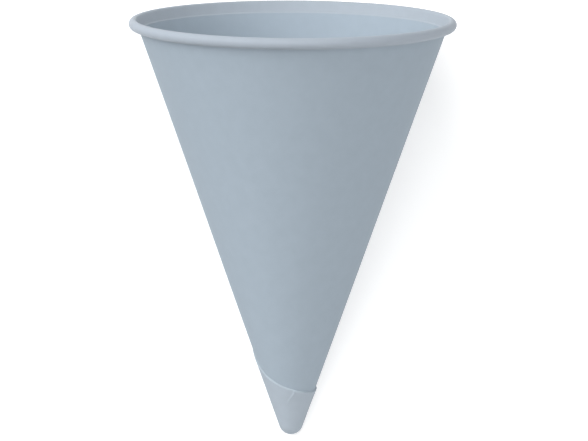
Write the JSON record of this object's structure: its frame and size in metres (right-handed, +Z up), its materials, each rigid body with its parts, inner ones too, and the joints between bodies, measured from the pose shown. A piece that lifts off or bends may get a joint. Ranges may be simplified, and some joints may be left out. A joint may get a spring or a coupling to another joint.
{
  "type": "cone paper cup",
  "caption": "Disposable paper cone cup with a rolled rim, a wound lap seam and a wrapped rounded tip, lying on its side, open at the mouth.",
  "frame": {"origin": "centre of the lying cup's box, on the floor that it lies on", "axes": "+Z up from the floor, +Y towards the mouth, -Y towards the tip, X across the cup; the cup's own axis leans 20.6 degrees up from +Y"},
  "size_m": [0.073, 0.1002, 0.0685],
  "materials": {
    "cup_paper": "matt uncoated paper, pale blue-grey"
  },
  "bodies": {
    "root": {"cone_cup": "cup_paper"}
  },
  "joints": []
}
